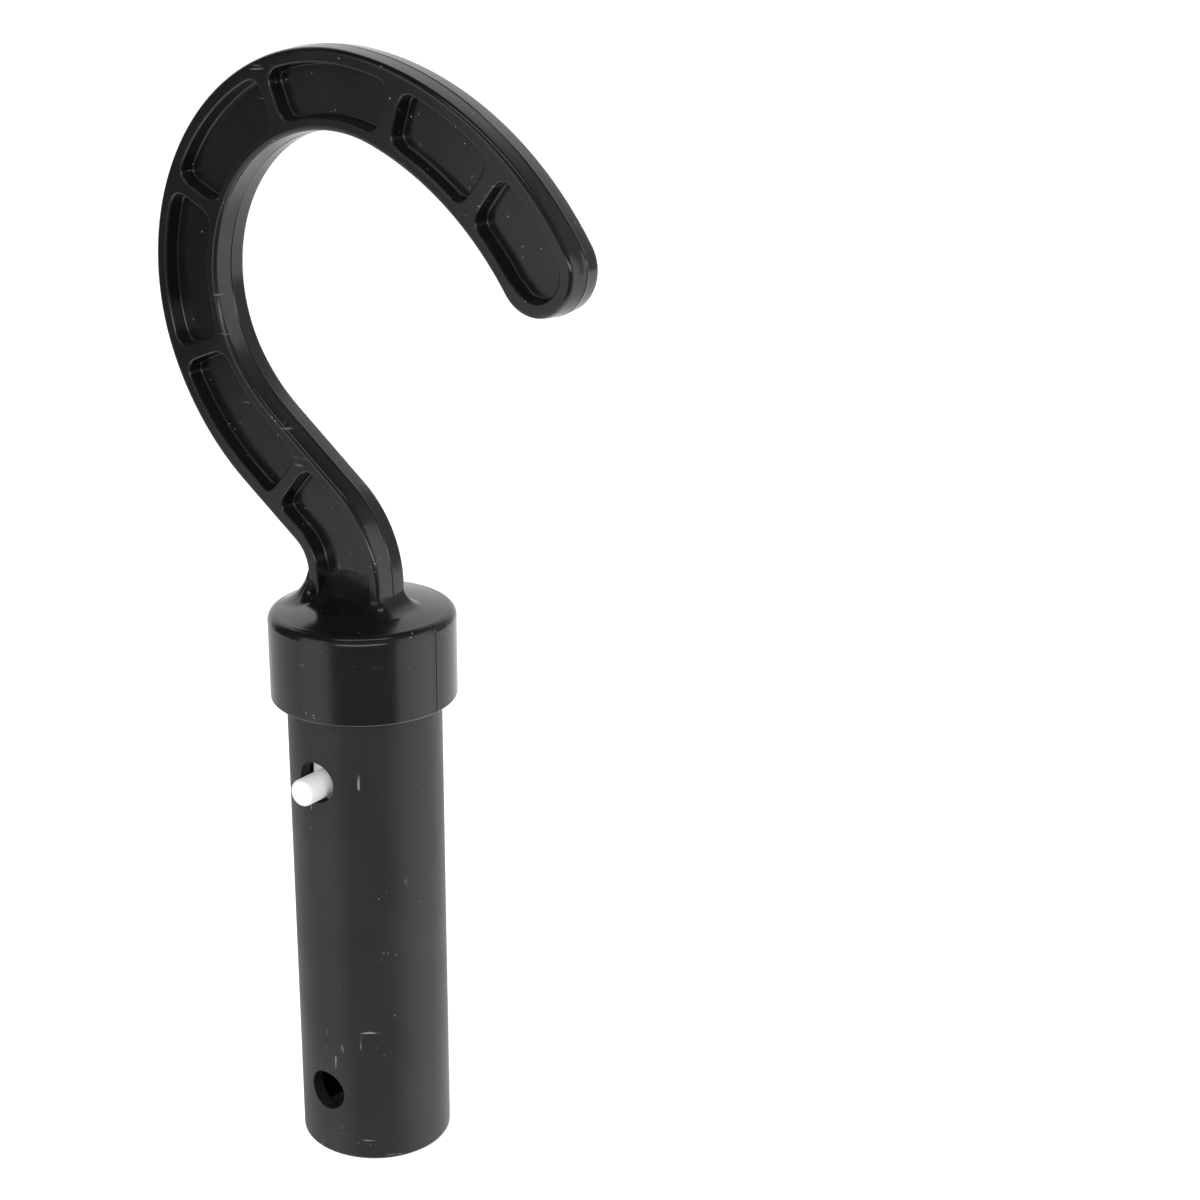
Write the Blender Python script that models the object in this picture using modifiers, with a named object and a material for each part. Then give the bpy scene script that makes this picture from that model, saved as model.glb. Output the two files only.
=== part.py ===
"""Hook head for a telescopic pool pole: moulded hook, spigot tube and a white snap clip.

Frame: origin on the tube axis in the shoulder plane under the collar, +Z up the axis towards the hook,
+X towards the hook's tip, the hook lies flat in the XZ plane and the clip's pins point along Y.
"""
import bmesh
import bpy
import math
from bmesh import ops as bmesh_ops
from mathutils import Vector

MM = 0.001

# spigot tube and its two pairs of cross holes
TUBE_RADIUS = 14.25 * MM
BORE_RADIUS = 11.75 * MM
TUBE_LENGTH = 89.8 * MM
HOLE_RADIUS = 3.9 * MM
UPPER_HOLE_Z = -13.0 * MM
HOLE_SPACING = 63.5 * MM
GAP = 0.3 * MM
MERGE = 0.001 * MM

# collar with the socket that holds the tube
COLLAR_RADIUS = 17.18 * MM
COLLAR_HEIGHT = 16.7 * MM
COLLAR_CHAMFER = 0.25 * MM
COLLAR_TOP_ROUND = 1.8 * MM
COLLAR_DOME = 1.7 * MM
SOCKET_DEPTH = 12.5 * MM

# flat hook with pockets on both faces
HOOK_THICKNESS = 7.7 * MM
EDGE_ROUND = 0.9 * MM
POCKET_DEPTH = 2.85 * MM
OUTER_RIM = 2.75 * MM
INNER_RIM = 2.4 * MM
POCKET_CORNER = 3.2 * MM
# outline of the hook: start point, start heading and a chain of (turn radius, turn angle or length)
HOOK_START = (-13.2 * MM, 16.6 * MM)
HOOK_HEADING = 30.2
HOOK_CHAIN = [
    ("left", 6.6, 113.0),      # hollow behind the neck
    ("line", 15.25, 0.0),      # neck
    ("right", 50.7, 31.6),     # heel of the bow
    ("right", 41.4, 120.0),    # bow
    ("right", 64.6, 49.0),     # back of the arm
    ("right", 7.6, 178.6),     # tip
    ("left", 58.4, 35.3),      # inside of the arm
    ("left", 26.8, 143.1),     # inside of the bow
    ("left", 34.7, 19.8),      # inside of the heel
    ("line", 19.5, 0.0),       # inside of the neck
    ("right", 22.6, 51.5),     # front of the neck
]
TIP_LINK = 5
NECK_BASE_Z = 14.0 * MM
# ribs between the pockets: a point on the centre line, its direction in degrees and the rib thickness
RIBS = [
    (-14.1, 38.3, 49.0, 2.5),
    (-33.5, 60.6, 20.8, 2.6),
    (-33.0, 88.1, -26.0, 2.4),
    (-14.0, 105.5, -68.0, 2.4),
    (11.9, 103.9, -109.0, 2.8),
    (30.6, 93.15, -128.5, 2.8),
]
LOWEST_POCKET_Z = 15.5 * MM
NECK_WAIST_Z = 22.5 * MM
# mound that blends the neck into the collar: half width across the web and blend radii
MOUND_HALF_DEPTH = 0.9 * MM
MOUND_LEFT = -9.4 * MM
MOUND_RIGHT = 7.2 * MM
MOUND_RADIUS_LEFT = 6.6 * MM
MOUND_RADIUS_FACE = 5.6 * MM
MOUND_RADIUS_RIGHT = 2.6 * MM

# snap clip
LEAF_WIDTH = 7.0 * MM
LEAF_THICKNESS = 1.8 * MM
LEAF_FACE_Y = 10.9 * MM
LEAF_TOP_Z = -7.6 * MM
PIVOT_Z = -58.0 * MM
BOW_RADIUS = 3.4 * MM
PIN_RADIUS = 2.5 * MM
PIN_Z = -13.8 * MM
PIN_TIP_Y = 18.4 * MM
PIN_TIP_ROUND = 0.8 * MM


def clear_scene():
    for item in list(bpy.data.objects):
        bpy.data.objects.remove(item, do_unlink=True)


def make_collection(name):
    collection = bpy.data.collections.new(name)
    bpy.context.scene.collection.children.link(collection)
    return collection


def plastic(name, colour, roughness):
    material = bpy.data.materials.new(name)
    material.use_nodes = True
    shader = material.node_tree.nodes["Principled BSDF"]
    shader.inputs["Base Color"].default_value = (*colour, 1.0)
    shader.inputs["Roughness"].default_value = roughness
    shader.inputs["Metallic"].default_value = 0.0
    material.diffuse_color = (*colour, 1.0)
    return material


def add_object(name, data, collection, material=None):
    item = bpy.data.objects.new(name, data)
    collection.objects.link(item)
    if material:
        data.materials.clear()
        data.materials.append(material)
    return item


def as_mesh(item, name, collection, material=None):
    """Replace an object that has curves or modifiers by the mesh they give."""
    bpy.context.view_layer.update()
    evaluated = item.evaluated_get(bpy.context.evaluated_depsgraph_get())
    mesh = bpy.data.meshes.new_from_object(evaluated)
    mesh.transform(item.matrix_world)
    mesh.name = name
    bpy.data.objects.remove(item, do_unlink=True)
    bm = bmesh_from(mesh)
    bmesh_ops.remove_doubles(bm, verts=bm.verts, dist=MERGE)
    bmesh_ops.recalc_face_normals(bm, faces=bm.faces)
    bm.to_mesh(mesh)
    bm.free()
    return add_object(name, mesh, collection, material)


def bmesh_from(mesh):
    bm = bmesh.new()
    bm.from_mesh(mesh)
    return bm


def shade(item, angle=35.0):
    mesh = item.data
    mesh.shade_smooth()
    mesh.set_sharp_from_angle(angle=math.radians(angle))


def cut(target, cutter, operation="DIFFERENCE"):
    modifier = target.modifiers.new(operation.lower(), "BOOLEAN")
    modifier.operation = operation
    modifier.solver = "EXACT"
    modifier.object = cutter
    cutter.hide_render = True
    cutter.display_type = "WIRE"


def arc_points(centre, radius, start, end, count):
    """Points of an arc from start to end, in degrees."""
    points = []
    for index in range(count + 1):
        angle = math.radians(start + (end - start) * index / count)
        points.append((centre[0] + radius * math.cos(angle), centre[1] + radius * math.sin(angle)))
    return points


def walk_chain(step_angle=4.0, step_length=2.2 * MM):
    """Walk the chain of arcs: a list of (point, outward normal, link index)."""
    x, z = HOOK_START
    heading = math.radians(HOOK_HEADING)
    track = [(Vector((x, z)), normal_of(heading), 0)]
    for index, (kind, size, angle) in enumerate(HOOK_CHAIN):
        size = size * MM
        if kind == "line":
            count = 4
            turn = 0.0
            stride = size / count
        else:
            length = size * math.radians(angle)
            count = max(3, math.ceil(angle / step_angle), math.ceil(length / step_length))
            turn = math.radians(angle) / count * (1.0 if kind == "left" else -1.0)
            stride = 2.0 * size * math.sin(abs(turn) / 2.0)
        for _ in range(count):
            heading += turn / 2.0
            x += stride * math.cos(heading)
            z += stride * math.sin(heading)
            heading += turn / 2.0
            track.append((Vector((x, z)), normal_of(heading), index))
    return track


def normal_of(heading):
    """Outward normal, on the left of the walking direction."""
    return Vector((-math.sin(heading), math.cos(heading)))


def hook_outline(inset):
    """Outline of the hook in XZ, moved inwards, closed inside the collar."""
    points = [tuple(point - normal * inset) for point, normal, _ in walk_chain()]
    return points + [(points[-1][0], NECK_BASE_Z), (points[0][0], NECK_BASE_Z)]


def side_of_rib(point, rib, shift):
    """Signed distance of a point from one edge of a rib."""
    x, z, angle, thickness = rib
    direction = math.radians(angle)
    across = Vector((-math.sin(direction), math.cos(direction)))
    return (point - Vector((x, z)) * MM).dot(across) - shift * thickness * MM / 2.0


def clip_run(points, keep):
    """Part of a run of points where keep() is positive, ended where it is zero."""
    run = []
    for first, second in zip(points, points[1:]):
        a = keep(first)
        b = keep(second)
        if a >= 0.0 and not run:
            run.append(first)
        if a * b < 0.0:
            run.append(first.lerp(second, a / (a - b)))
        if b >= 0.0:
            run.append(second)
    return run


def trim(run, length):
    """Shorten a run of points at both ends."""
    for _ in range(2):
        left = length
        while (run[1] - run[0]).length <= left and len(run) > 2:
            left -= (run[1] - run[0]).length
            run = run[1:]
        span = (run[1] - run[0]).length
        run = [run[0].lerp(run[1], min(left / span, 0.49))] + run[1:]
        run = run[::-1]
    return run


def round_loop(runs, corner, steps=5):
    """Join runs of points into one loop with rounded corners."""
    corners = [run[0] for run in runs]
    short = []
    for run in runs:
        length = sum((b - a).length for a, b in zip(run, run[1:]))
        short.append(trim(run, min(corner, 0.45 * length)))
    loop = []
    for index, run in enumerate(short):
        before = short[index - 1][-1]
        after = run[0]
        for step in range(1, steps):
            t = step / steps
            loop.append(before * (1 - t) ** 2 + corners[index] * 2 * t * (1 - t) + after * t ** 2)
        loop.extend(run)
    return loop


def pocket_loops():
    """Outlines of the pockets, from the neck round to the tip."""
    track = walk_chain()
    outer = [p - n * OUTER_RIM for p, n, link in track if link <= TIP_LINK]
    inner = [p - n * INNER_RIM for p, n, link in track if link > TIP_LINK]
    loops = []
    for index in range(len(RIBS) + 1):
        low = RIBS[index - 1] if index > 0 else None
        high = RIBS[index] if index < len(RIBS) else None

        def keep(point, low=low, high=high):
            limits = []
            if low:
                limits.append(side_of_rib(point, low, 1.0))
            if high:
                limits.append(-side_of_rib(point, high, -1.0))
            return min(limits)

        run_out = clip_run(near_ribs(outer, low, high), keep)
        run_in = clip_run(near_ribs(inner, low, high), keep)
        if low is None:
            run_out = [point for point in run_out if point.y > NECK_WAIST_Z]
            run_out = [Vector((run_out[0].x, LOWEST_POCKET_Z))] + run_out
            run_in = run_in + [Vector((run_in[-1].x, LOWEST_POCKET_Z))]
        if high is None:
            loops.append(round_loop([run_out + run_in, [run_in[-1], run_out[0]]], POCKET_CORNER))
            continue
        sides = [run_out, [run_out[-1], run_in[0]], run_in, [run_in[-1], run_out[0]]]
        loops.append(round_loop(sides, POCKET_CORNER))
    return loops


def near_ribs(points, low, high):
    """Only the points close enough to one of the two ribs that bound a pocket."""
    centres = [Vector(rib[:2]) * MM for rib in (low, high) if rib]
    middle = sum(centres, Vector((0.0, 0.0))) / len(centres)
    reach = 34.0 * MM
    return [point for point in points if (point - middle).length < reach]


def flat_solid(name, loop, y_low, y_high, collection):
    """Prism between two Y planes from an outline in XZ."""
    curve = bpy.data.curves.new(name, "CURVE")
    curve.dimensions = "2D"
    curve.fill_mode = "BOTH"
    curve.extrude = (y_high - y_low) / 2.0
    add_spline(curve, loop)
    item = add_object(name, curve, collection)
    item.rotation_euler = (math.radians(90.0), 0.0, 0.0)
    item.location = (0.0, (y_low + y_high) / 2.0, 0.0)
    return as_mesh(item, name, collection)


def add_spline(curve, loop, closed=True):
    spline = curve.splines.new("POLY")
    spline.points.add(len(loop) - 1)
    for index, (x, z) in enumerate(loop):
        spline.points[index].co = (x, z, 0.0, 1.0)
    spline.use_cyclic_u = closed


def revolve(name, profile, collection, material=None, segments=96, closed=True):
    """Solid of revolution round Z from a closed profile in XZ."""
    mesh = bpy.data.meshes.new(name)
    verts = [(x, 0.0, z) for x, z in profile]
    edges = [(i, (i + 1) % len(verts)) for i in range(len(verts) if closed else len(verts) - 1)]
    mesh.from_pydata(verts, edges, [])
    item = add_object(name, mesh, collection)
    screw = item.modifiers.new("turn", "SCREW")
    screw.axis = "Z"
    screw.steps = segments
    screw.render_steps = segments
    screw.use_merge_vertices = True
    screw.merge_threshold = MERGE
    return as_mesh(item, name, collection, material)


def build_arm(collection):
    """Flat hook with rounded edges, before the pockets are cut."""
    curve = bpy.data.curves.new("hook_head", "CURVE")
    curve.dimensions = "2D"
    curve.fill_mode = "BOTH"
    curve.extrude = HOOK_THICKNESS / 2.0 - EDGE_ROUND
    curve.bevel_depth = EDGE_ROUND
    curve.bevel_resolution = 2
    add_spline(curve, hook_outline(EDGE_ROUND))
    item = add_object("hook_head", curve, collection)
    item.rotation_euler = (math.radians(90.0), 0.0, 0.0)
    return as_mesh(item, "hook_head", collection)


def build_collar(collection):
    """Collar with a low domed top, a rounded edge and a blind socket for the tube."""
    socket = TUBE_RADIUS + GAP
    round_centre = (COLLAR_RADIUS - COLLAR_TOP_ROUND, COLLAR_HEIGHT - COLLAR_TOP_ROUND)
    top = COLLAR_RADIUS - COLLAR_TOP_ROUND
    dome = (0.0, 0.25, 0.5, 0.75)
    profile = [(top * share, COLLAR_HEIGHT + COLLAR_DOME * (1.0 - share ** 2)) for share in dome]
    profile += arc_points(round_centre, COLLAR_TOP_ROUND, 90.0, 0.0, 6)
    profile += [
        (COLLAR_RADIUS, COLLAR_CHAMFER),
        (COLLAR_RADIUS - COLLAR_CHAMFER, 0.0),
        (socket, 0.0),
        (socket, SOCKET_DEPTH),
        (0.0, SOCKET_DEPTH),
    ]
    return revolve("collar_body", profile, collection, closed=False)


def mound_radius(angle):
    """Blend radius round the neck: large on the left, small on the right."""
    side = MOUND_RADIUS_LEFT if math.cos(angle) < 0.0 else MOUND_RADIUS_RIGHT
    weight = math.cos(angle) ** 2
    return side * weight + MOUND_RADIUS_FACE * (1.0 - weight)


def build_mound(collection, around=64, rings=7):
    """Hollow-sided mound lofted from the collar's top up to the web of the neck."""
    middle = (MOUND_LEFT + MOUND_RIGHT) / 2.0
    half = (MOUND_RIGHT - MOUND_LEFT) / 2.0
    verts = []
    foot = COLLAR_HEIGHT - 2.0 * MM
    for ring in range(-1, rings):
        lean = math.radians(90.0) * max(ring, 0) / (rings - 1)
        for step in range(around):
            angle = 2.0 * math.pi * step / around
            radius = mound_radius(angle)
            spread = radius * (1.0 - math.sin(lean))
            height = COLLAR_HEIGHT + radius * (1.0 - math.cos(lean)) - 0.05 * MM
            core_x = middle + half * math.cos(angle)
            core_y = MOUND_HALF_DEPTH * math.sin(angle)
            x = core_x + spread * math.cos(angle)
            y = core_y + spread * math.sin(angle)
            verts.append((x, y, foot if ring < 0 else height))
    faces = []
    for ring in range(rings):
        for step in range(around):
            after = (step + 1) % around
            base = ring * around
            faces.append((base + step, base + after, base + around + after, base + around + step))
    top = rings * around
    verts.append((middle, 0.0, COLLAR_HEIGHT + 2.0 * MM))
    verts.append((middle, 0.0, foot))
    for step in range(around):
        after = (step + 1) % around
        faces.append((top + step, top + after, len(verts) - 2))
        faces.append((after, step, len(verts) - 1))
    mesh = bpy.data.meshes.new("mound")
    mesh.from_pydata(verts, [], faces)
    return add_object("mound", mesh, collection)


def build_hook_head(parts, cutters, material):
    arm = build_arm(parts)
    solids = []
    for side in (-1.0, 1.0):
        for index, loop in enumerate(pocket_loops()):
            floor = side * (HOOK_THICKNESS / 2.0 - POCKET_DEPTH)
            out = side * (HOOK_THICKNESS / 2.0 + 2.0 * MM)
            name = f"pocket_cutter_{'front' if side < 0 else 'back'}_{index + 1}"
            solids.append(flat_solid(name, loop, min(floor, out), max(floor, out), cutters))
    cutter = join_solids("pocket_cutter", solids, cutters)
    cut(arm, cutter)
    collar = build_collar(cutters)
    mound = build_mound(cutters)
    cut(collar, mound, "UNION")
    cut(arm, collar, "UNION")
    head = as_mesh(arm, "hook_head", parts, material)
    for used in (cutter, collar, mound):
        bpy.data.objects.remove(used, do_unlink=True)
    shade(head)
    return head


def join_solids(name, solids, collection):
    bm = bmesh.new()
    for solid in solids:
        bm.from_mesh(solid.data)
        bpy.data.objects.remove(solid, do_unlink=True)
    mesh = bpy.data.meshes.new(name)
    bm.to_mesh(mesh)
    bm.free()
    return add_object(name, mesh, collection)


def cross_cylinder(name, radius, z, collection):
    """Long cylinder along Y that drills both walls of the tube."""
    profile = [(0.0, -25.0 * MM), (radius, -25.0 * MM), (radius, 25.0 * MM), (0.0, 25.0 * MM)]
    item = revolve(name, profile[::-1], collection, segments=40, closed=False)
    item.data.transform(turn_to_y())
    item.location = (0.0, 0.0, z)
    return item


def turn_to_y(sign=1.0):
    """Rotation that lays the Z axis along +Y or -Y."""
    return Vector((0.0, 0.0, 1.0)).rotation_difference(Vector((0.0, sign, 0.0))).to_matrix().to_4x4()


def build_tube(parts, cutters, material):
    top = SOCKET_DEPTH - GAP
    chamfer = 0.5 * MM
    profile = [
        (BORE_RADIUS, top),
        (TUBE_RADIUS, top),
        (TUBE_RADIUS, -TUBE_LENGTH + chamfer),
        (TUBE_RADIUS - chamfer, -TUBE_LENGTH),
        (BORE_RADIUS + chamfer / 2.0, -TUBE_LENGTH),
        (BORE_RADIUS, -TUBE_LENGTH + chamfer / 2.0),
    ]
    tube = revolve("spigot_tube", profile, parts)
    drills = []
    for index, z in enumerate((UPPER_HOLE_Z, UPPER_HOLE_Z - HOLE_SPACING)):
        drill = cross_cylinder(f"hole_cutter_{index + 1}", HOLE_RADIUS, z, cutters)
        cut(tube, drill)
        drills.append(drill)
    tube = as_mesh(tube, "spigot_tube", parts, material)
    for drill in drills:
        bpy.data.objects.remove(drill, do_unlink=True)
    shade(tube)
    return tube


def leaf_strip(name, line, parts, material):
    """Leaf spring strip of even thickness that follows a line in YZ."""
    curve = bpy.data.curves.new(name, "CURVE")
    curve.dimensions = "2D"
    curve.fill_mode = "NONE"
    curve.extrude = LEAF_WIDTH / 2.0
    add_spline(curve, line, closed=False)
    item = add_object(name, curve, parts)
    item.rotation_euler = (math.radians(90.0), 0.0, math.radians(90.0))
    strip = as_mesh(item, name, parts)
    solid = strip.modifiers.new("thickness", "SOLIDIFY")
    solid.thickness = LEAF_THICKNESS
    solid.offset = 0.0
    bevel = strip.modifiers.new("edges", "BEVEL")
    bevel.width = 0.25 * MM
    bevel.segments = 2
    bevel.limit_method = "ANGLE"
    bevel.angle_limit = math.radians(50.0)
    return as_mesh(strip, name, parts, material)


def leaf_line():
    """Middle line of a leg, from the pivot up to its end, for the +Y side."""
    top_y = LEAF_FACE_Y - LEAF_THICKNESS / 2.0
    start_z = PIVOT_Z + GAP / 2.0
    points = []
    for index in range(15):
        t = index / 14.0
        z = start_z + (LEAF_TOP_Z - start_z) * t
        y = BOW_RADIUS + (top_y - BOW_RADIUS) * math.sin(min(t / 0.84, 1.0) * math.pi / 2.0)
        points.append((y, z))
    return points


def build_clip(parts, materials):
    bow_line = arc_points((0.0, PIVOT_Z - GAP / 2.0), BOW_RADIUS, 180.0, 360.0, 16)
    bow = leaf_strip("clip_bow", bow_line, parts, materials["clip_bow"])
    shade(bow, 50.0)
    for side, label in ((-1.0, "front"), (1.0, "back")):
        line = [(side * y, z) for y, z in leaf_line()]
        leg = leaf_strip(f"clip_leg_{label}", line, parts, materials[f"clip_leg_{label}"])
        pin = build_pin(f"clip_pin_{label}", side, parts, materials[f"clip_pin_{label}"])
        for item in (leg, pin):
            place_origin(item, Vector((0.0, side * BOW_RADIUS, PIVOT_Z)))
            shade(item, 50.0)


def build_pin(name, side, parts, material):
    """Round pin with a softly rounded tip, standing on the leaf's outer face."""
    root = LEAF_FACE_Y + GAP
    tip_centre = (PIN_RADIUS - PIN_TIP_ROUND, PIN_TIP_Y - PIN_TIP_ROUND)
    profile = [(0.0, PIN_TIP_Y)]
    profile += arc_points(tip_centre, PIN_TIP_ROUND, 90.0, 0.0, 4)
    profile += [(PIN_RADIUS, root), (0.0, root)]
    pin = revolve(name, profile, parts, material, segments=40, closed=False)
    pin.data.transform(turn_to_y(side))
    pin.location = (0.0, 0.0, PIN_Z)
    return as_mesh(pin, name, parts, material)


def place_origin(item, point):
    """Move an object's origin to a point without moving its shape."""
    for vert in item.data.vertices:
        vert.co -= point
    item.location = point


def build():
    clear_scene()
    parts = make_collection("pool_pole_hook")
    cutters = make_collection("cutters")
    head_plastic = plastic("head_plastic", (0.012, 0.012, 0.013), 0.32)
    tube_plastic = plastic("tube_plastic", (0.022, 0.022, 0.023), 0.5)
    clip_names = ("clip_bow", "clip_leg_front", "clip_leg_back", "clip_pin_front", "clip_pin_back")
    clip_plastics = {name: plastic(f"{name}_plastic", (0.82, 0.82, 0.80), 0.55) for name in clip_names}
    build_hook_head(parts, cutters, head_plastic)
    build_tube(parts, cutters, tube_plastic)
    build_clip(parts, clip_plastics)
    bpy.context.view_layer.update()


build()
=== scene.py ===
"""Looks of the pool pole hook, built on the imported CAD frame."""

import bmesh
import bpy
import math
from mathutils import Matrix, Vector


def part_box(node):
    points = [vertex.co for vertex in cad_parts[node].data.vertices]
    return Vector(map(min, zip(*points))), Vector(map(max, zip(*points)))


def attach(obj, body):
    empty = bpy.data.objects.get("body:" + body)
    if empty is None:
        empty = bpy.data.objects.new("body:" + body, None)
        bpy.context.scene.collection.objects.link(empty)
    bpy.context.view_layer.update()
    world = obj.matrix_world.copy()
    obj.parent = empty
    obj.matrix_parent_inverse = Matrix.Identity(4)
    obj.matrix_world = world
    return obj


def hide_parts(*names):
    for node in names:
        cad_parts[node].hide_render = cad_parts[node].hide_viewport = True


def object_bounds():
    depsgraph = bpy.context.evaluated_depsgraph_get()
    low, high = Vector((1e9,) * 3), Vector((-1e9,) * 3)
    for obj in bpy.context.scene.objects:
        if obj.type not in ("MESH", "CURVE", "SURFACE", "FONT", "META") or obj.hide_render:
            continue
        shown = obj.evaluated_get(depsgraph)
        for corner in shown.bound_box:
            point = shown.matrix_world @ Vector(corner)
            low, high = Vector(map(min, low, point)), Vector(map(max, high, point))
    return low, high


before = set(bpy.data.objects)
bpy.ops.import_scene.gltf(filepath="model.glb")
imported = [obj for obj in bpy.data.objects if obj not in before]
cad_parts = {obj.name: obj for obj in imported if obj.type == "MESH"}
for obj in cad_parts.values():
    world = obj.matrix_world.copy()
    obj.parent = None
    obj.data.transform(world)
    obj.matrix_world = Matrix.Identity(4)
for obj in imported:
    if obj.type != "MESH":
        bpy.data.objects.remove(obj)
cad_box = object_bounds()

MM = 0.001

# sizes shared with the CAD model
HOOK_START = (-13.2 * MM, 16.6 * MM)
HOOK_HEADING = 30.2
# the arm's outline as arcs: way of turning, radius or length (mm), angle (degrees)
HOOK_CHAIN = [
    ("left", 6.6, 113.0),
    ("line", 15.25, 0.0),
    ("right", 50.7, 31.6),
    ("right", 41.4, 120.0),
    ("right", 64.6, 49.0),
    ("right", 7.6, 178.6),
    ("left", 58.4, 35.3),
    ("left", 26.8, 143.1),
    ("left", 34.7, 19.8),
    ("line", 19.5, 0.0),
    ("right", 22.6, 51.5),
]
TIP_LINK = 5
# ribs between the pockets: x, z (mm), direction (degrees), thickness (mm)
RIBS = [
    (-14.1, 38.3, 49.0, 2.5),
    (-33.5, 60.6, 20.8, 2.6),
    (-33.0, 88.1, -26.0, 2.4),
    (-14.0, 105.5, -68.0, 2.4),
    (11.9, 103.9, -109.0, 2.8),
    (30.6, 93.15, -128.5, 2.8),
]
POCKET_DEPTH = 2.85 * MM
OUTER_RIM = 2.75 * MM
INNER_RIM = 2.4 * MM
POCKET_CORNER = 3.2 * MM
LOWEST_POCKET_Z = 15.5 * MM
NECK_WAIST_Z = 22.5 * MM
NECK_BASE_Z = 14.0 * MM
NECK_FOOT_X = -9.92 * MM
NECK_FOOT_Z = 22.3 * MM
HOLE_RADIUS = 3.9 * MM
HOLE_Z = (-13.0 * MM, -76.5 * MM)
GAP = 0.3 * MM
TUBE_WALL = 2.5 * MM
LEAF_THICKNESS = 1.8 * MM
COLLAR_HEIGHT = 16.7 * MM
COLLAR_EDGE = 1.8 * MM
HALF_THICKNESS = 3.85 * MM
RIB_REACH = 34.0 * MM

# looks
EDGE_ROUND = 0.9 * MM
SIDE_DRAFT = 0.22 * MM
POCKET_DRAFT = 0.25 * MM
POCKET_EDGE = 0.4 * MM
POCKET_FILLET = 0.35 * MM
WITNESS_LIP = 0.04 * MM
WITNESS_GROOVE = 0.12 * MM
WITNESS_HALF = 0.14 * MM
DOME_RISE = 1.7 * MM
COLLAR_FOOT = 0.45 * MM
TUBE_LIP = 0.45 * MM
PIN_TIP_ROUND = 0.9 * MM
# parts of the neck that blend into the collar: low x, high x, half depth, then the
# radius of the blend on the left, on the right and on the two faces (mm)
BLENDS = [
    (-8.0, 6.3, 0.96, 2.0, 2.0, 5.6),
    (-9.75, -8.1, 3.7, 6.2, 1.6, 5.6),
    (5.4, 6.95, 3.7, 1.5, 4.2, 2.6),
]
CORE_ROUND = 0.75

# view and floor
VIEW_AZIMUTH = 41.3
CAMERA_DISTANCE = 0.36705
CAMERA_HEIGHT = 0.14344
CAMERA_YAW = 0.0091
CAMERA_PITCH = 0.3299
CAMERA_ROLL = 0.0279
CAMERA_LENS = 64.52
CAMERA_SHIFT = 0.1833
FLOOR_HALF = 12.0
BACKDROP_RADIUS = 11.0
BACKDROP_HEIGHT = 9.0
RING_STEPS = 48


# ---------------------------------------------------------------- outlines

def normal_of(heading):
    """Direction to the left of a heading."""
    return Vector((-math.sin(heading), math.cos(heading)))


def walk_chain(step_angle=2.0, step_length=0.9 * MM):
    """Walk the chain of arcs: a list of (point, outward normal, link index)."""
    x, z = HOOK_START
    heading = math.radians(HOOK_HEADING)
    track = [(Vector((x, z)), normal_of(heading), 0)]
    for index, (kind, size, angle) in enumerate(HOOK_CHAIN):
        size = size * MM
        if kind == "line":
            count = math.ceil(size / (1.5 * MM))
            turn = 0.0
            stride = size / count
        else:
            length = size * math.radians(angle)
            count = max(3, math.ceil(angle / step_angle), math.ceil(length / step_length))
            turn = math.radians(angle) / count * (1.0 if kind == "left" else -1.0)
            stride = 2.0 * size * math.sin(abs(turn) / 2.0)
        for _ in range(count):
            heading += turn / 2.0
            x += stride * math.cos(heading)
            z += stride * math.sin(heading)
            heading += turn / 2.0
            track.append((Vector((x, z)), normal_of(heading), index))
    return track


def side_of_rib(point, rib, shift):
    """Signed distance of a point from one edge of a rib."""
    x, z, angle, thickness = rib
    direction = math.radians(angle)
    across = Vector((-math.sin(direction), math.cos(direction)))
    return (point - Vector((x, z)) * MM).dot(across) - shift * thickness * MM / 2.0


def clip_run(points, keep):
    """Part of a run of points where keep() is positive, ended where it is zero."""
    run = []
    for first, second in zip(points, points[1:]):
        a = keep(first)
        b = keep(second)
        if a >= 0.0 and not run:
            run.append(first)
        if a * b < 0.0:
            run.append(first.lerp(second, a / (a - b)))
        if b >= 0.0:
            run.append(second)
    return run


def trim(run, length):
    """Shorten a run of points at both ends."""
    for _ in range(2):
        left = length
        while (run[1] - run[0]).length <= left and len(run) > 2:
            left -= (run[1] - run[0]).length
            run = run[1:]
        span = (run[1] - run[0]).length
        run = [run[0].lerp(run[1], min(left / span, 0.49))] + run[1:]
        run = run[::-1]
    return run


def round_loop(runs, corner, steps=10):
    """Join runs of points into one loop with rounded corners."""
    corners = [run[0] for run in runs]
    short = []
    for run in runs:
        length = sum((b - a).length for a, b in zip(run, run[1:]))
        short.append(trim(run, min(corner, 0.45 * length)))
    loop = []
    for index, run in enumerate(short):
        before = short[index - 1][-1]
        after = run[0]
        for step in range(1, steps):
            t = step / steps
            loop.append(before * (1 - t) ** 2 + corners[index] * 2 * t * (1 - t) + after * t ** 2)
        loop.extend(run)
    return loop


def near_ribs(points, low, high):
    """Only the points close enough to the ribs that bound a pocket."""
    centres = [Vector(rib[:2]) * MM for rib in (low, high) if rib]
    middle = sum(centres, Vector((0.0, 0.0))) / len(centres)
    return [point for point in points if (point - middle).length < RIB_REACH]


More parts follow.
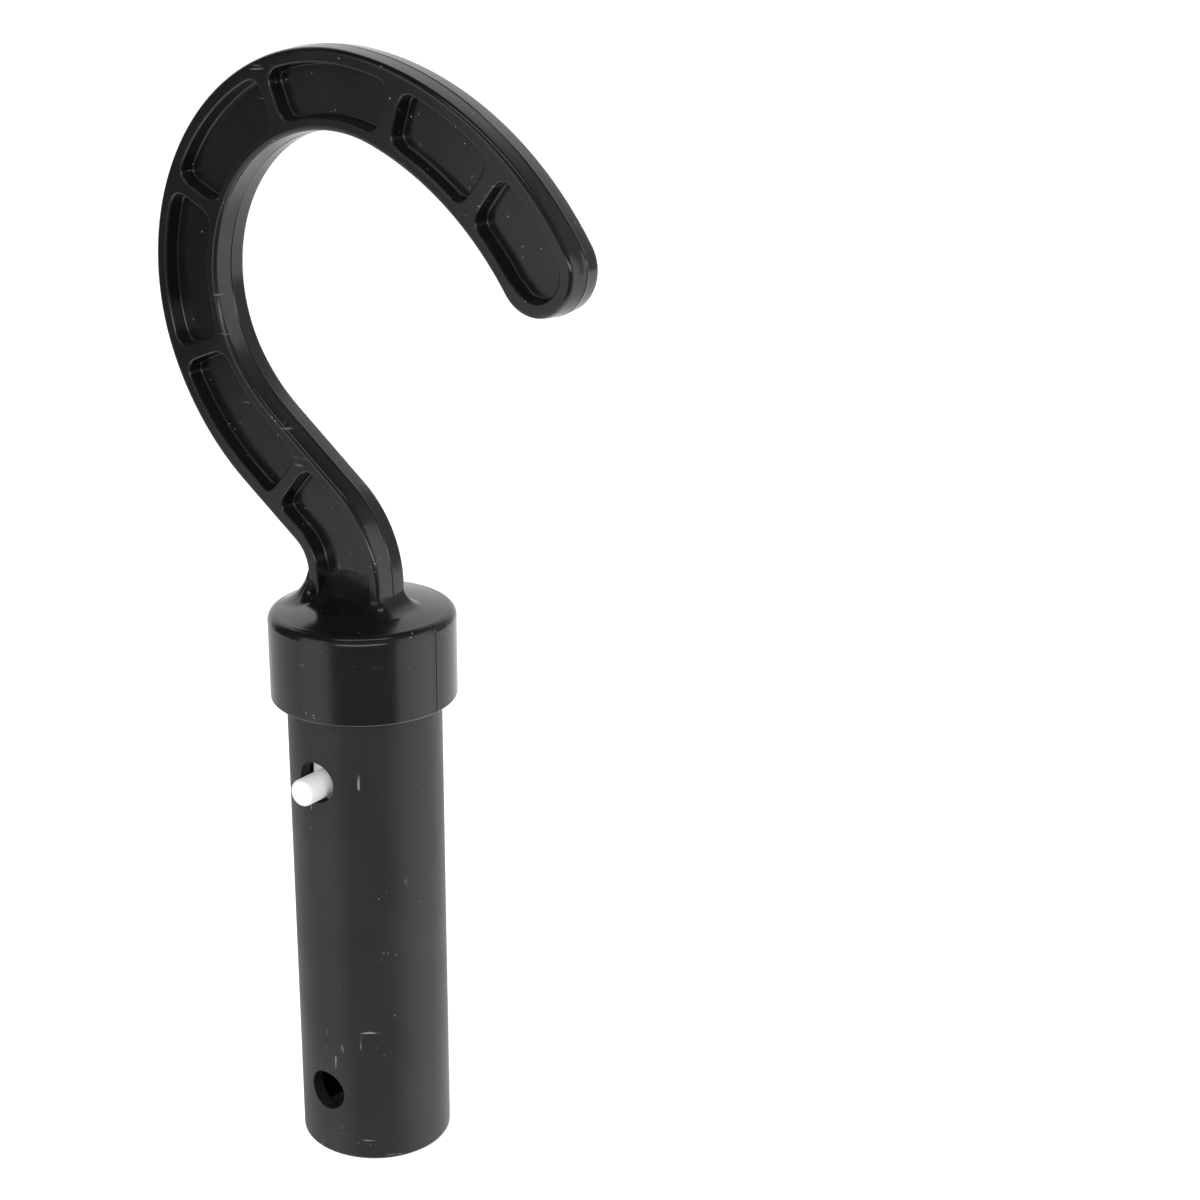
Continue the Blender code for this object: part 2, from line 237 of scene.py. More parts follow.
def pocket_loops():
    """Outlines of the pockets, from the neck round to the tip."""
    track = walk_chain()
    outer = [p - n * OUTER_RIM for p, n, link in track if link <= TIP_LINK]
    inner = [p - n * INNER_RIM for p, n, link in track if link > TIP_LINK]
    loops = []
    for index in range(len(RIBS) + 1):
        low = RIBS[index - 1] if index > 0 else None
        high = RIBS[index] if index < len(RIBS) else None

        def keep(point, low=low, high=high):
            limits = []
            if low:
                limits.append(side_of_rib(point, low, 1.0))
            if high:
                limits.append(-side_of_rib(point, high, -1.0))
            return min(limits)

        run_out = clip_run(near_ribs(outer, low, high), keep)
        run_in = clip_run(near_ribs(inner, low, high), keep)
        if low is None:
            run_out = [point for point in run_out if point.y > NECK_WAIST_Z]
            run_out = [Vector((run_out[0].x, LOWEST_POCKET_Z))] + run_out
            run_in = run_in + [Vector((run_in[-1].x, LOWEST_POCKET_Z))]
        if high is None:
            loops.append(round_loop([run_out + run_in, [run_in[-1], run_out[0]]], POCKET_CORNER))
            continue
        sides = [run_out, [run_out[-1], run_in[0]], run_in, [run_in[-1], run_out[0]]]
        loops.append(round_loop(sides, POCKET_CORNER))
    return loops


# ---------------------------------------------------------------- mesh helpers

def add_object(name, mesh):
    item = bpy.data.objects.new(name, mesh)
    bpy.context.scene.collection.objects.link(item)
    return item


def skin(name, rings, closed_ends=True):
    """Mesh from rings of points with the same count; ends are closed by one face each."""
    count = len(rings[0])
    verts = [tuple(point) for ring in rings for point in ring]
    faces = []
    for level in range(len(rings) - 1):
        for step in range(count):
            after = (step + 1) % count
            base = level * count
            faces.append((base + step, base + after, base + count + after, base + count + step))
    if closed_ends:
        faces.append(tuple(range(count))[::-1])
        last = (len(rings) - 1) * count
        faces.append(tuple(last + step for step in range(count)))
    mesh = bpy.data.meshes.new(name)
    mesh.from_pydata(verts, [], faces)
    bm = bmesh.new()
    bm.from_mesh(mesh)
    bmesh.ops.recalc_face_normals(bm, faces=bm.faces)
    bm.to_mesh(mesh)
    bm.free()
    return mesh


def bake(item):
    """Turn an object's modifiers into its mesh."""
    bpy.context.view_layer.update()
    evaluated = item.evaluated_get(bpy.context.evaluated_depsgraph_get())
    mesh = bpy.data.meshes.new_from_object(evaluated)
    item.modifiers.clear()
    item.data = mesh


def cut(target, cutter):
    """Take one solid away from another."""
    modifier = target.modifiers.new("cut", "BOOLEAN")
    modifier.operation = "DIFFERENCE"
    modifier.solver = "EXACT"
    modifier.object = cutter
    bake(target)
    bpy.data.objects.remove(cutter, do_unlink=True)


def soften_edges(item, width, segments=3, angle=40.0):
    """Round the sharp edges of a mesh."""
    bevel = item.modifiers.new("edges", "BEVEL")
    bevel.width = width
    bevel.segments = segments
    bevel.limit_method = "ANGLE"
    bevel.angle_limit = math.radians(angle)
    bevel.harden_normals = False
    bake(item)


def shade(item, angle=40.0):
    """Smooth shading in which large flat faces stay flat and only the roundings turn."""
    item.data.shade_smooth()
    item.data.set_sharp_from_angle(angle=math.radians(angle))
    weighted = item.modifiers.new("weighted", "WEIGHTED_NORMAL")
    weighted.keep_sharp = True
    weighted.weight = 60
    bake(item)


def merge(name, items):
    """Join the meshes of several objects into one object."""
    bm = bmesh.new()
    for item in items:
        item.data.transform(item.matrix_world)
        bm.from_mesh(item.data)
        bpy.data.objects.remove(item, do_unlink=True)
    mesh = bpy.data.meshes.new(name)
    bm.to_mesh(mesh)
    bm.free()
    return add_object(name, mesh)


# ---------------------------------------------------------------- hook head

tube_low, tube_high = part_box("spigot_tube")
COLLAR_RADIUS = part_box("hook_head")[1].y
TUBE_RADIUS = tube_high.y
SOCKET_DEPTH = tube_high.z + GAP


def arm_section():
    """Half section of the arm's edge: (inset, y) from the front face to the back face."""
    flat = HALF_THICKNESS - EDGE_ROUND
    section = []
    for step in range(7):
        angle = math.radians(90.0 * step / 6)
        section.append((WITNESS_LIP + SIDE_DRAFT + EDGE_ROUND * (1.0 - math.sin(angle)),
                        -flat - EDGE_ROUND * math.cos(angle)))
    for share in (0.66, 0.33):
        section.append((WITNESS_LIP + SIDE_DRAFT * share ** 1.5, -flat * share))
    section.append((WITNESS_LIP, -2.0 * WITNESS_HALF))
    section.append((0.0, -WITNESS_HALF))
    section.append((WITNESS_GROOVE, 0.0))
    return section + [(inset, -y) for inset, y in section[-2::-1]]


def build_arm():
    """Flat arm with its mould line and the pockets on both faces."""
    track = walk_chain()
    rings = []
    for inset, y in arm_section():
        outline = [point - normal * inset for point, normal, _ in track]
        for point in outline:
            if point.y < NECK_FOOT_Z and point.x < 0.0:
                point.x = NECK_FOOT_X + inset
        outline.append(Vector((outline[-1].x, NECK_BASE_Z)))
        outline.append(Vector((outline[0].x, NECK_BASE_Z)))
        rings.append([(point.x, y, point.y) for point in outline])
    arm = add_object("arm", skin("arm", rings))
    cutters = []
    for side in (-1.0, 1.0):
        for index, loop in enumerate(pocket_loops()):
            cutters.append(pocket_cutter(f"cutter_{index}", loop, side))
    cut(arm, merge("pocket_cutter", cutters))
    return arm


def pocket_cutter(name, loop, side):
    """Shape of one pocket: filleted at its floor, drafted, and flared to round its mouth."""
    count = len(loop)
    area = sum(a.x * b.y - b.x * a.y for a, b in zip(loop, loop[1:] + loop[:1]))
    turn = -1.0 if area > 0.0 else 1.0
    normals = []
    for index in range(count):
        along = (loop[(index + 1) % count] - loop[index - 1]).normalized()
        normals.append(Vector((-along.y, along.x)) * turn)
    floor = HALF_THICKNESS - POCKET_DEPTH
    profile = []
    for step in range(7):
        lean = math.radians(90.0 * step / 6)
        profile.append((floor + POCKET_FILLET * (1.0 - math.cos(lean)),
                        -POCKET_DRAFT - POCKET_FILLET * (1.0 - math.sin(lean))))
    for step in range(7):
        lean = math.radians(82.0 * step / 6)
        profile.append((HALF_THICKNESS - POCKET_EDGE * (1.0 - math.sin(lean)),
                        POCKET_EDGE * (0.7 - math.cos(lean))))
    profile.append((HALF_THICKNESS + 0.5 * MM, POCKET_EDGE * 0.9))
    rings = []
    for depth, spread in profile:
        rings.append([
            (p.x + n.x * spread, side * depth, p.y + n.y * spread)
            for p, n in zip(loop, normals)
        ])
    return add_object(name, skin(name, rings))


def round_angles(count):
    """Even angles of one full turn."""
    return [2.0 * math.pi * step / count for step in range(count)]


def ring_angles(count=320):
    """Angles round the axis, closer together at the two witness lines."""
    angles = round_angles(count)
    for centre in (0.0, math.pi):
        for offset in (-0.9, -0.45, 0.45, 0.9):
            angles.append((centre + math.radians(offset)) % (2.0 * math.pi))
    return sorted(angles)


def witness(angle, share):
    """Depth below the full radius where the mould halves meet: a fine groove between two lips."""
    away = math.degrees(abs(math.asin(math.sin(angle))))
    if away < 0.2:
        return WITNESS_GROOVE * share
    return 0.0 if away < 0.6 else WITNESS_LIP * share


def hollow_rise(distance, radius):
    """Height of a hollow quarter-round blend at a distance from its wall."""
    if distance >= radius:
        return 0.0
    return radius - math.sqrt(max(radius ** 2 - (radius - distance) ** 2, 0.0))


def mound_height(x, y):
    """Rise of the collar's top, domed and blended into the neck."""
    total = 0.0
    for low, high, half, left, right, face in BLENDS:
        dx = max((low + CORE_ROUND) * MM - x, x - (high - CORE_ROUND) * MM, 0.0)
        dy = max(abs(y) - (half - CORE_ROUND) * MM, 0.0)
        reach = math.hypot(dx, dy)
        weight = (dx / reach) ** 2 if reach > 0.0 else 0.0
        away = max(reach - CORE_ROUND * MM, 0.0)
        side = left if x < low * MM else right
        total += hollow_rise(away, (side * weight + face * (1.0 - weight)) * MM) ** 3
    top = COLLAR_RADIUS - COLLAR_EDGE
    dome = DOME_RISE * max(1.0 - (x * x + y * y) / top ** 2, 0.0)
    return total ** (1.0 / 3.0) + dome


def ring_at(angles, radius, z, groove=0.0):
    """Ring of points round the axis, with the witness line as deep as groove says."""
    ring = []
    for a in angles:
        r = radius - witness(a, groove)
        ring.append((r * math.cos(a), r * math.sin(a), z))
    return ring


def build_collar():
    """Collar with its socket, rounded top edge and blended mound."""
    angles = ring_angles()
    socket = TUBE_RADIUS + GAP
    inner = [(0.4 * MM, SOCKET_DEPTH), (socket - 0.4 * MM, SOCKET_DEPTH)]
    inner += [(socket, SOCKET_DEPTH - 0.4 * MM)]
    inner += [(socket, 0.4 * MM), (socket + 0.15 * MM, 0.05 * MM), (socket + 0.35 * MM, 0.0)]
    rings = [ring_at(angles, r, z) for r, z in inner]
    outer = []
    for step in range(5):
        lean = math.radians(90.0 * step / 4)
        outer.append((COLLAR_RADIUS - COLLAR_FOOT + COLLAR_FOOT * math.sin(lean),
                      COLLAR_FOOT - COLLAR_FOOT * math.cos(lean)))
    outer += [(COLLAR_RADIUS, COLLAR_HEIGHT * share) for share in (0.2, 0.4, 0.6, 0.8)]
    for step in range(10):
        lean = math.radians(80.0 * step / 9)
        outer.append((COLLAR_RADIUS - COLLAR_EDGE + COLLAR_EDGE * math.cos(lean),
                      COLLAR_HEIGHT - COLLAR_EDGE + COLLAR_EDGE * math.sin(lean)))
    rings += [ring_at(angles, r, z, 1.0) for r, z in outer]
    top = COLLAR_RADIUS - COLLAR_EDGE
    for step in range(1, 110):
        r = top * (1.0 - step / 110.0)
        ring = []
        for a in angles:
            x = r * math.cos(a)
            y = r * math.sin(a)
            ring.append((x, y, COLLAR_HEIGHT + mound_height(x, y)))
        rings.append(ring)
    return add_object("collar", skin("collar", rings))


def build_head():
    head = merge("hook_head_moulding", [build_arm(), build_collar()])
    shade(head)
    return head


# ---------------------------------------------------------------- tube

def build_tube():
    """Tube with rounded ends and two cross holes."""
    angles = ring_angles()
    bore = TUBE_RADIUS - TUBE_WALL
    low = tube_low.z
    high = tube_high.z
    profile = [(bore, high - 0.3 * MM), (bore + 0.3 * MM, high), (TUBE_RADIUS - 0.3 * MM, high)]
    profile += [(TUBE_RADIUS, high - 0.3 * MM)]
    profile += [(TUBE_RADIUS, high + (low - high) * share) for share in (0.2, 0.4, 0.6, 0.8)]
    for step in range(5):
        lean = math.radians(90.0 * step / 4)
        profile.append((TUBE_RADIUS - TUBE_LIP + TUBE_LIP * math.cos(lean),
                        low + TUBE_LIP - TUBE_LIP * math.sin(lean)))
    profile += [(bore + 0.3 * MM, low), (bore, low + 0.3 * MM)]
    profile += [(bore, low + (high - low) * share) for share in (0.25, 0.5, 0.75)]
    rings = [ring_at(angles, r, z, 0.3 if r > bore + 0.5 * MM else 0.0) for r, z in profile]
    rings.append(rings[0])
    mesh = skin("spigot_tube_body", rings, closed_ends=False)
    bm = bmesh.new()
    bm.from_mesh(mesh)
    bmesh.ops.remove_doubles(bm, verts=bm.verts, dist=0.001 * MM)
    bmesh.ops.recalc_face_normals(bm, faces=bm.faces)
    bm.to_mesh(mesh)
    bm.free()
    tube = add_object("spigot_tube_body", mesh)
    drills = []
    for index, z in enumerate(HOLE_Z):
        rings = []
        for y in (-25.0 * MM, 25.0 * MM):
            circle = round_angles(64)
            rings.append([(HOLE_RADIUS * math.cos(a), y, z + HOLE_RADIUS * math.sin(a)) for a in circle])
        drills.append(add_object(f"drill_{index}", skin(f"drill_{index}", rings)))
    cut(tube, merge("drills", drills))
    soften_edges(tube, 0.25 * MM, angle=50.0)
    shade(tube)
    return tube


# ---------------------------------------------------------------- snap clip

def strip(name, line, width, thickness):
    """Leaf of even thickness along a line of (y, z) points, with rounded edges."""
    rings = []
    for index, point in enumerate(line):
        before = line[max(index - 1, 0)]
        after = line[min(index + 1, len(line) - 1)]
        along = (after - before).normalized()
        across = Vector((-along.y, along.x)) * thickness / 2.0
        ring = []
        for x, side in ((-1, -1), (1, -1), (1, 1), (-1, 1)):
            spot = point + across * side
            ring.append((x * width / 2.0, spot.x, spot.y))
        rings.append(ring)
    leaf = add_object(name, skin(name, rings))
    soften_edges(leaf, 0.35 * MM, segments=4, angle=50.0)
    shade(leaf, 50.0)
    return leaf


def spin_y(name, profile, side, z, steps=64):
    """Solid of revolution round an axis along Y from (radius, distance) points."""
    rings = []
    for radius, distance in profile:
        ring = []
        for angle in round_angles(steps):
            ring.append((radius * math.cos(angle), side * distance, z + radius * math.sin(angle)))
        rings.append(ring)
    item = add_object(name, skin(name, rings))
    shade(item, 50.0)
    return item


def leaf_line(low_z, bow_radius, top_y, top_z):
    """Middle line of a leg as (y, z) points, bending outwards from the bow."""
    points = []
    for index in range(41):
        t = index / 40.0
        lift = math.sin(min(t / 0.84, 1.0) * math.pi / 2.0)
        points.append(Vector((bow_radius + (top_y - bow_radius) * lift, low_z + (top_z - low_z) * t)))
    return points


def build_clip():
    """One springy moulding: its bow stays with the tube and each leg swings with its pin."""
    bow_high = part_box("clip_bow")[1]
    leg_low, leg_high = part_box("clip_leg_back")
    pin_low, pin_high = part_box("clip_pin_back")
    width = leg_high.x - leg_low.x
    bow_radius = bow_high.y - LEAF_THICKNESS / 2.0
    bow_top = bow_high.z
    pieces = {}
    line = []
    for step in range(25):
        angle = math.radians(180.0 + 180.0 * step / 24)
        line.append(Vector((bow_radius * math.cos(angle), bow_top + bow_radius * math.sin(angle))))
    pieces["clip_bow"] = strip("clip_bow_bend", line, width, LEAF_THICKNESS)
    pin_radius = pin_high.x
    pin_z = (pin_low.z + pin_high.z) / 2.0
    face = leg_high.y
    for side, label in ((-1.0, "front"), (1.0, "back")):
        line = leaf_line(bow_top, bow_radius, leg_high.y - LEAF_THICKNESS / 2.0, leg_high.z)
        line = [Vector((side * point.x, point.y)) for point in line]
        leaf = strip("leaf", line, width, LEAF_THICKNESS)
        profile = [(pin_radius, face - 0.4 * MM), (pin_radius, face + 1.0 * MM)]
        profile += [(pin_radius, pin_high.y - 2.0 * MM)]
        for step in range(8):
            lean = math.radians(90.0 * step / 7)
            profile.append((pin_radius - PIN_TIP_ROUND + PIN_TIP_ROUND * math.cos(lean),
                            pin_high.y - PIN_TIP_ROUND + PIN_TIP_ROUND * math.sin(lean)))
        profile.append((0.5 * MM, pin_high.y))
        pin = spin_y("pin", profile, side, pin_z)
        whole = merge(f"clip_{label}_leg_and_pin", [leaf, pin])
        shade(whole, 50.0)
        pieces[label] = whole
    return pieces


# ---------------------------------------------------------------- materials

class Graph:
    """Short calls that add nodes to a node tree."""

    def __init__(self, tree, coordinate):
        self.tree = tree
        self.place = self.add("ShaderNodeTexCoord").outputs[coordinate]

    def add(self, kind, **values):
        node = self.tree.nodes.new(kind)
        for name, value in values.items():
            setattr(node, name, value)
        return node

    def link(self, source, target):
        self.tree.links.new(source, target)

    def noise(self, scale, detail=3.0, stretch=None):
        node = self.add("ShaderNodeTexNoise")
        node.inputs["Scale"].default_value = scale
        node.inputs["Detail"].default_value = detail
        self.link(self.stretched(stretch), node.inputs["Vector"])
        return node.outputs["Fac"]

    def stretched(self, stretch):
        if stretch is None:
            return self.place
        mapping = self.add("ShaderNodeMapping")
        mapping.inputs["Scale"].default_value = stretch
        self.link(self.place, mapping.inputs["Vector"])
        return mapping.outputs["Vector"]

    def ramp(self, source, low, high, start=0.0, end=1.0):
        """Value that goes smoothly from low to high as the source goes from start to end."""
        node = self.add("ShaderNodeMapRange", interpolation_type="SMOOTHSTEP")
        node.inputs["From Min"].default_value = start
        node.inputs["From Max"].default_value = end
        node.inputs["To Min"].default_value = low
        node.inputs["To Max"].default_value = high
        self.link(source, node.inputs["Value"])
        return node.outputs["Result"]

    def mix(self, factor, first, second):
        node = self.add("ShaderNodeMix", data_type="RGBA")
        self.link(factor, node.inputs["Factor"])
        for value, socket in ((first, node.inputs["A"]), (second, node.inputs["B"])):
            if isinstance(value, tuple):
                socket.default_value = (*value, 1.0)
            else:
                self.link(value, socket)
        return node.outputs["Result"]

    def math(self, operation, *values):
        node = self.add("ShaderNodeMath", operation=operation)
        for value, socket in zip(values, node.inputs):
            if isinstance(value, float):
                socket.default_value = value
            else:
                self.link(value, socket)
        return node.outputs[0]

    def along(self, axis):
        """How far the coordinate reaches along an axis."""
        node = self.add("ShaderNodeVectorMath", operation="DOT_PRODUCT")
        self.link(self.place, node.inputs[0])
        node.inputs[1].default_value = axis
        return node.outputs["Value"]

    def specks(self, scale, size):
        """1 inside small round specks scattered at random, else 0."""
        cells = self.add("ShaderNodeTexVoronoi")
        cells.inputs["Scale"].default_value = scale
        self.link(self.place, cells.inputs["Vector"])
        return self.ramp(cells.outputs["Distance"], 1.0, 0.0, size * 0.5, size)

    def bump(self, height, strength, distance, under=None):
        node = self.add("ShaderNodeBump")
        node.inputs["Strength"].default_value = strength
        node.inputs["Distance"].default_value = distance
        self.link(height, node.inputs["Height"])
        if under:
            self.link(under, node.inputs["Normal"])
        return node.outputs["Normal"]


class Finish(Graph):
    """Node material laid out in the object's own coordinates."""

    def __init__(self, name):
        self.material = bpy.data.materials.new(name)
        self.material.use_nodes = True
        super().__init__(self.material.node_tree, "Object")
        self.shader = self.tree.nodes["Principled BSDF"]


def black_plastic(name, dark, light, rough, grain, *, dust, scratches, gloss):
    """Black moulded plastic with fine grain, handling marks and a little dust."""
    n = Finish(name)
    cloud = n.noise(60.0, 4.0)
    base = n.mix(n.ramp(cloud, 0.0, 1.0, 0.35, 0.65), dark, light)
    rare = n.ramp(n.noise(220.0, 1.0), 0.0, 1.0, 0.62, 0.66)
    speck = n.math("MULTIPLY", n.specks(800.0, 0.13), rare)
    level_marks = n.ramp(n.noise(900.0, 2.0, (0.16, 0.16, 1.6)), 0.0, 1.0, 0.68, 0.75)
    level_marks = n.math("MULTIPLY", level_marks, n.ramp(n.noise(70.0, 1.0), 0.0, 1.0, 0.57, 0.64))
    steep_marks = n.ramp(n.noise(700.0, 2.0, (1.5, 1.5, 0.2)), 0.0, 1.0, 0.68, 0.76)
    steep_marks = n.math("MULTIPLY", steep_marks, n.ramp(n.noise(55.0, 1.0), 1.0, 0.0, 0.33, 0.39))
    marks = n.math("MAXIMUM", level_marks, steep_marks)
    light_marks = n.math("MAXIMUM", n.math("MULTIPLY", speck, dust), n.math("MULTIPLY", marks, scratches))
    n.link(n.mix(light_marks, base, (0.30, 0.30, 0.30)), n.shader.inputs["Base Color"])
    wear = n.ramp(n.noise(35.0, 5.0), rough - 0.05, rough + 0.06, 0.3, 0.7)
    n.link(n.math("ADD", wear, n.math("MULTIPLY", light_marks, 0.3)), n.shader.inputs["Roughness"])
    waves = n.bump(n.noise(90.0, 1.0), 0.05, 0.0002)
    n.link(n.bump(n.noise(2600.0, 2.0), grain, 0.00002, waves), n.shader.inputs["Normal"])
    n.shader.inputs["Specular IOR Level"].default_value = gloss
    return n.material


def white_plastic(name):
    """Natural white moulding, slightly waxy, with faint grey handling marks."""
    n = Finish(name)
    cloud = n.ramp(n.noise(180.0, 4.0), 0.0, 1.0, 0.35, 0.7)
    n.link(n.mix(cloud, (0.80, 0.80, 0.785), (0.86, 0.86, 0.85)), n.shader.inputs["Base Color"])
    n.link(n.ramp(n.noise(300.0, 3.0), 0.45, 0.58, 0.3, 0.7), n.shader.inputs["Roughness"])
    n.link(n.bump(n.noise(1500.0, 3.0), 0.25, 0.00004), n.shader.inputs["Normal"])
    n.shader.inputs["Subsurface Weight"].default_value = 0.1
    n.shader.inputs["Subsurface Radius"].default_value = (0.001, 0.001, 0.001)
    return n.material


# ---------------------------------------------------------------- studio

def area_light(name, location, target, size, power):
    """Rectangular studio light aimed at a point."""
    light = bpy.data.lights.new(name, "AREA")
    light.shape = "RECTANGLE"
    light.size, light.size_y = size
    light.energy = power
    item = bpy.data.objects.new(name, light)
    bpy.context.scene.collection.objects.link(item)
    item.location = location
    item.rotation_euler = (Vector(target) - Vector(location)).to_track_quat("-Z", "Y").to_euler()
    return item


def white_paper(name, dark, light, glow):
    """Evenly glowing white paper."""
    n = Finish(name)
    tone = n.mix(n.ramp(n.noise(3.0, 2.0), 0.0, 1.0, 0.3, 0.7), (dark, dark, dark), (light, light, light))
    n.link(tone, n.shader.inputs["Emission Color"])
    n.shader.inputs["Emission Strength"].default_value = glow
    n.shader.inputs["Roughness"].default_value = 0.9
    return n, tone


def stage_sheet(name, verts, faces, material, lights=False):
    """Staged sheet; the object is lit by the studio and not by the sheet, unless it lights."""
    mesh = bpy.data.meshes.new(name)
    mesh.from_pydata(verts, [], faces)
    sheet = add_object(name, mesh)
    sheet.data.materials.append(material)
    sheet.visible_glossy = lights
    sheet.visible_diffuse = lights
    sheet.visible_shadow = lights


def build_floor():
    """White floor just under the tube, a white wall all round, and a disc in the tube's end painted dark
    grey as painted shade.
    """
    z = cad_box[0][2] - 0.4 * MM
    paper, tone = white_paper("floor_paper", 0.93, 0.95, 0.72)
    paper.link(tone, paper.shader.inputs["Base Color"])
    paper.shader.inputs["Specular IOR Level"].default_value = 0.0
    corners = [(x * FLOOR_HALF, y * FLOOR_HALF, z) for x, y in ((-1, -1), (1, -1), (1, 1), (-1, 1))]
    stage_sheet("floor", corners, [range(4)], paper.material)

    circle = round_angles(RING_STEPS)
    wall = []
    for level in (z, z + BACKDROP_HEIGHT):
        wall += [(BACKDROP_RADIUS * math.cos(a), BACKDROP_RADIUS * math.sin(a), level) for a in circle]
    faces = []
    for step in range(RING_STEPS):
        after = (step + 1) % RING_STEPS
        faces.append((step, after, RING_STEPS + after, RING_STEPS + step))
    stage_sheet("backdrop", wall, faces, white_paper("backdrop_paper", 0.98, 1.0, 1.0)[0].material)

    # disc just above the floor inside the tube's end, painted dark grey as painted shade of the floor in
    # the bore; it also blocks light from below
    radius = TUBE_RADIUS - 0.8 * MM
    disc = [(radius * math.cos(a), radius * math.sin(a), z + 0.05 * MM) for a in circle]
    painted_shade_finish = Finish("painted_floor_shade")
    # dark grey tone: painted shade, far darker than the white floor paper
    tone = painted_shade_finish.mix(painted_shade_finish.noise(300.0), (0.10, 0.10, 0.10), (0.14, 0.14, 0.14))
    painted_shade_finish.link(tone, painted_shade_finish.shader.inputs["Base Color"])
    stage_sheet("painted_shade_floor_disc", disc, [range(RING_STEPS)], painted_shade_finish.material, lights=True)


def view_frame():
    """Directions to the right of, and away from, the viewer in the floor plane."""
    turn = math.radians(VIEW_AZIMUTH)
    right = Vector((math.cos(turn), math.sin(turn), 0.0))
    away = Vector((-math.sin(turn), math.cos(turn), 0.0))
    return right, away


def build_camera():
    """Camera a little above the collar, looking down at the object."""
    right, away = view_frame()
    level = math.cos(CAMERA_PITCH)
    look = away * math.cos(CAMERA_YAW) * level + right * math.sin(CAMERA_YAW) * level
    look -= Vector((0.0, 0.0, math.sin(CAMERA_PITCH)))
    side = right * math.cos(CAMERA_YAW) - away * math.sin(CAMERA_YAW)
    down = look.cross(side)
    across = side * math.cos(CAMERA_ROLL) + down * math.sin(CAMERA_ROLL)
    under = down * math.cos(CAMERA_ROLL) - side * math.sin(CAMERA_ROLL)
    place = away * -CAMERA_DISTANCE + Vector((0.0, 0.0, CAMERA_HEIGHT))
    data = bpy.data.cameras.new("view")
    data.sensor_width = 36.0
    data.lens = CAMERA_LENS
    data.shift_x = CAMERA_SHIFT
    data.clip_start = 0.01
    camera = bpy.data.objects.new("view", data)
    bpy.context.scene.collection.objects.link(camera)
    spin = Matrix((across, -under, -look)).transposed()
    camera.matrix_world = Matrix.Translation(place) @ spin.to_4x4()
    bpy.context.scene.camera = camera


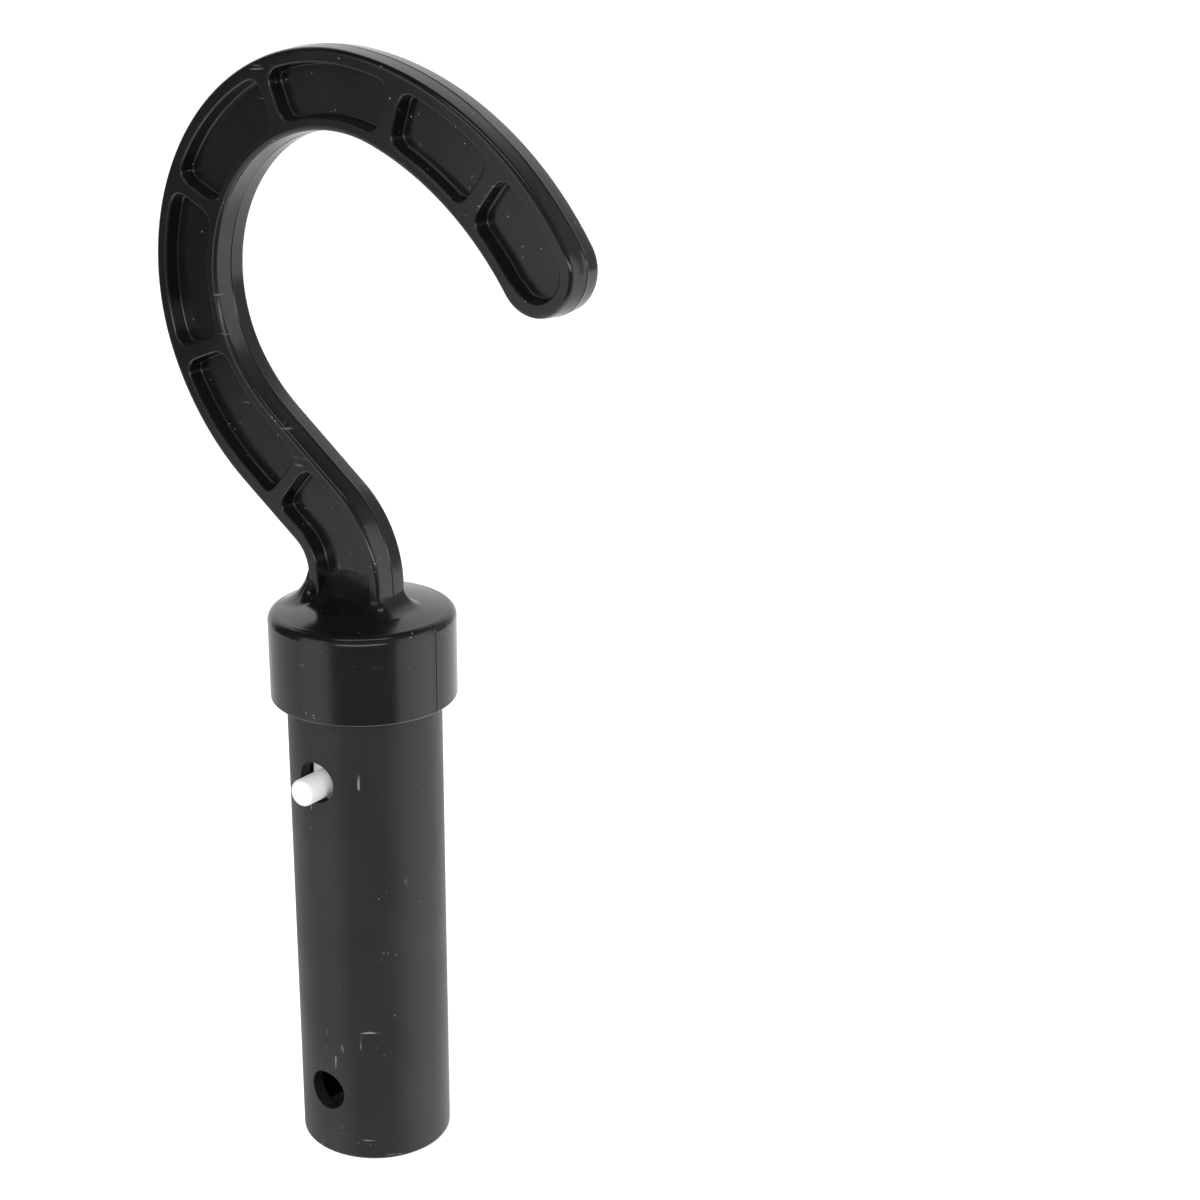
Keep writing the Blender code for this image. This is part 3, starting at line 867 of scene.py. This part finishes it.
def build_world():
    """Soft studio: bright behind and below, a tall soft box on each side, a dark room in front."""
    world = bpy.data.worlds.new("studio")
    world.use_nodes = True
    n = Graph(world.node_tree, "Generated")
    right, away = view_frame()
    rightward = n.along(right)
    turn = n.math("DEGREES", n.math("ARCTAN2", rightward, n.along(-away)))
    wide = n.math("ABSOLUTE", turn)
    lift = n.math("DEGREES", n.math("ARCSINE", n.along(Vector((0.0, 0.0, 1.0)))))

    def window(source, *edges):
        """1 between two soft edges, each given by where it starts and ends."""
        opened = n.ramp(source, 0.0, 1.0, edges[0], edges[1])
        return n.math("MULTIPLY", opened, n.ramp(source, 1.0, 0.0, edges[2], edges[3]))

    def layer(base, mask, level):
        """Put a light of a given strength over what is already there."""
        rest = n.math("MULTIPLY", base, n.math("SUBTRACT", 1.0, mask))
        return n.math("ADD", rest, n.math("MULTIPLY", mask, level))

    backdrop = n.math("MULTIPLY", n.ramp(wide, 0.0, 1.0, 118.0, 146.0), n.ramp(lift, 1.0, 0.0, 42.0, 56.0))
    sides = n.math("MULTIPLY", n.ramp(turn, 0.06, 0.42, -60.0, 60.0), n.ramp(lift, 1.0, 0.2, 30.0, 60.0))
    glow = layer(sides, backdrop, 1.08)
    edge = n.math("ADD", lift, n.math("MULTIPLY", rightward, -4.0))
    below = n.ramp(rightward, 0.78, 1.2, -0.6, 0.4)
    below = n.math("MULTIPLY", below, n.ramp(lift, 2.3, 1.0, -64.0, -42.0))
    glow = layer(glow, n.ramp(edge, 1.0, 0.0, -13.5, -8.5), below)
    tall = n.ramp(lift, 1.0, 0.0, 26.0, 36.0)
    left_box = n.math("MULTIPLY", window(turn, -82.0, -77.0, -47.0, -38.0), tall)
    right_box = n.math("MULTIPLY", window(turn, 38.0, 46.0, 91.0, 94.0), tall)
    glow = layer(glow, left_box, 1.05)
    glow = layer(glow, right_box, n.ramp(turn, 1.15, 1.5, 44.0, 78.0))
    front = n.math("MULTIPLY", n.ramp(wide, 1.0, 0.0, 36.0, 45.0), window(lift, -52.0, -40.0, 20.0, 40.0))
    glow = layer(glow, front, 0.16)
    key = n.math("MULTIPLY", window(turn, -34.0, -26.0, 22.0, 30.0), window(lift, 1.0, 4.0, 12.0, 16.0))
    glow = layer(glow, key, 4.0)
    n.link(glow, world.node_tree.nodes["Background"].inputs["Strength"])
    world.node_tree.nodes["Background"].inputs["Color"].default_value = (1.0, 1.0, 0.995, 1.0)
    bpy.context.scene.world = world


def build_lights():
    """Large fill light from the front left and a narrow strip overhead."""
    right, away = view_frame()
    up = Vector((0.0, 0.0, 1.0))
    centre = up * 0.01
    fill = area_light("fill", right * -0.5 + away * -1.2 + up * 0.9, centre, (1.2, 1.2), 21.0)
    fill.visible_glossy = False
    area_light("top_strip", away * -0.45 + up * 1.3, centre, (1.1, 0.16), 2.0)
    bpy.context.scene.view_settings.view_transform = "Standard"


# ---------------------------------------------------------------- assembly

def place(item, body, slot, material, *nodes):
    """Give a piece its material and its body, and hide the CAD nodes it stands for; the slot is not used.
    """
    item.data.materials.clear()
    item.data.materials.append(material)
    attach(item, body)
    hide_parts(*nodes)


head_black = black_plastic(
    "black_moulding", (0.0055, 0.0055, 0.006), (0.0075, 0.0075, 0.008), 0.17, 0.25,
    dust=0.8, scratches=0.3, gloss=0.5,
)
tube_black = black_plastic(
    "matte_black_tube", (0.0125, 0.0125, 0.0122), (0.016, 0.016, 0.0155), 0.42, 0.4,
    dust=0.6, scratches=0.7, gloss=0.38,
)
clip_white = white_plastic("white_moulding")

place(build_head(), "head", "head_plastic", head_black, "hook_head")
place(build_tube(), "head", "tube_plastic", tube_black, "spigot_tube")
clip = build_clip()
place(clip["clip_bow"], "head", "clip_plastic", clip_white, "clip_bow")
place(clip["front"], "front_leg", "clip_plastic", clip_white, "clip_leg_front", "clip_pin_front")
place(clip["back"], "back_leg", "clip_plastic", clip_white, "clip_leg_back", "clip_pin_back")

build_floor()
build_world()
build_lights()
build_camera()
